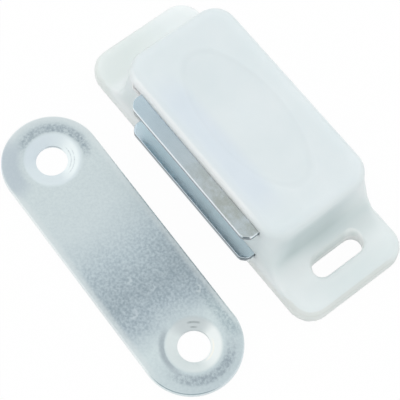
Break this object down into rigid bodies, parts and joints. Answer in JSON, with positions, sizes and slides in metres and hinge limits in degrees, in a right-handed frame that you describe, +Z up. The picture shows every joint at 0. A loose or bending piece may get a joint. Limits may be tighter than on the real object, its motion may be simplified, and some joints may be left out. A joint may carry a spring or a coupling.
{
  "type": "magnetic cabinet catch",
  "caption": "White moulded cabinet catch with slotted screw flanges and a floating magnet between proud steel pole plates, laid out with its countersunk steel strike plate.",
  "frame": {"origin": "midway between the two screw slots, on the mounting face", "axes": "+X along the catch, -Y towards the pole side, +Z up from the mounting face"},
  "size_m": [0.0476, 0.0371, 0.014],
  "materials": {
    "housing": "satin white moulding",
    "base_cover": "satin white moulding",
    "magnet_block": "pressed and sintered ferrite, matt",
    "pole_plates": "bright zinc plate on sheet steel",
    "strike_plate": "dull zinc plate on sheet steel"
  },
  "bodies": {
    "catch": {"housing": "housing", "base_cover": "base_cover"},
    "magnet": {"magnet_block": "magnet_block"},
    "upper_plate": {"upper_pole_plate": "pole_plates"},
    "lower_plate": {"lower_pole_plate": "pole_plates"},
    "strike": {"strike_plate": "strike_plate"}
  },
  "joints": [
    {"name": "pack_float", "type": "slide", "parent": "catch", "child": "magnet", "axis": [1, 0, 0], "range_m": [-0.0015, 0]},
    {"name": "upper_plate_float", "type": "slide", "parent": "magnet", "child": "upper_plate", "axis": [0, 1, 0], "range_m": [-0.0004, 0.0006]},
    {"name": "lower_plate_float", "type": "slide", "parent": "magnet", "child": "lower_plate", "axis": [0, 1, 0], "range_m": [-0.0004, 0.0006]},
    {"name": "strike_away", "type": "slide", "parent": "catch", "child": "strike", "axis": [0, 1, 0], "range_m": [-0.04, 0.003]}
  ]
}
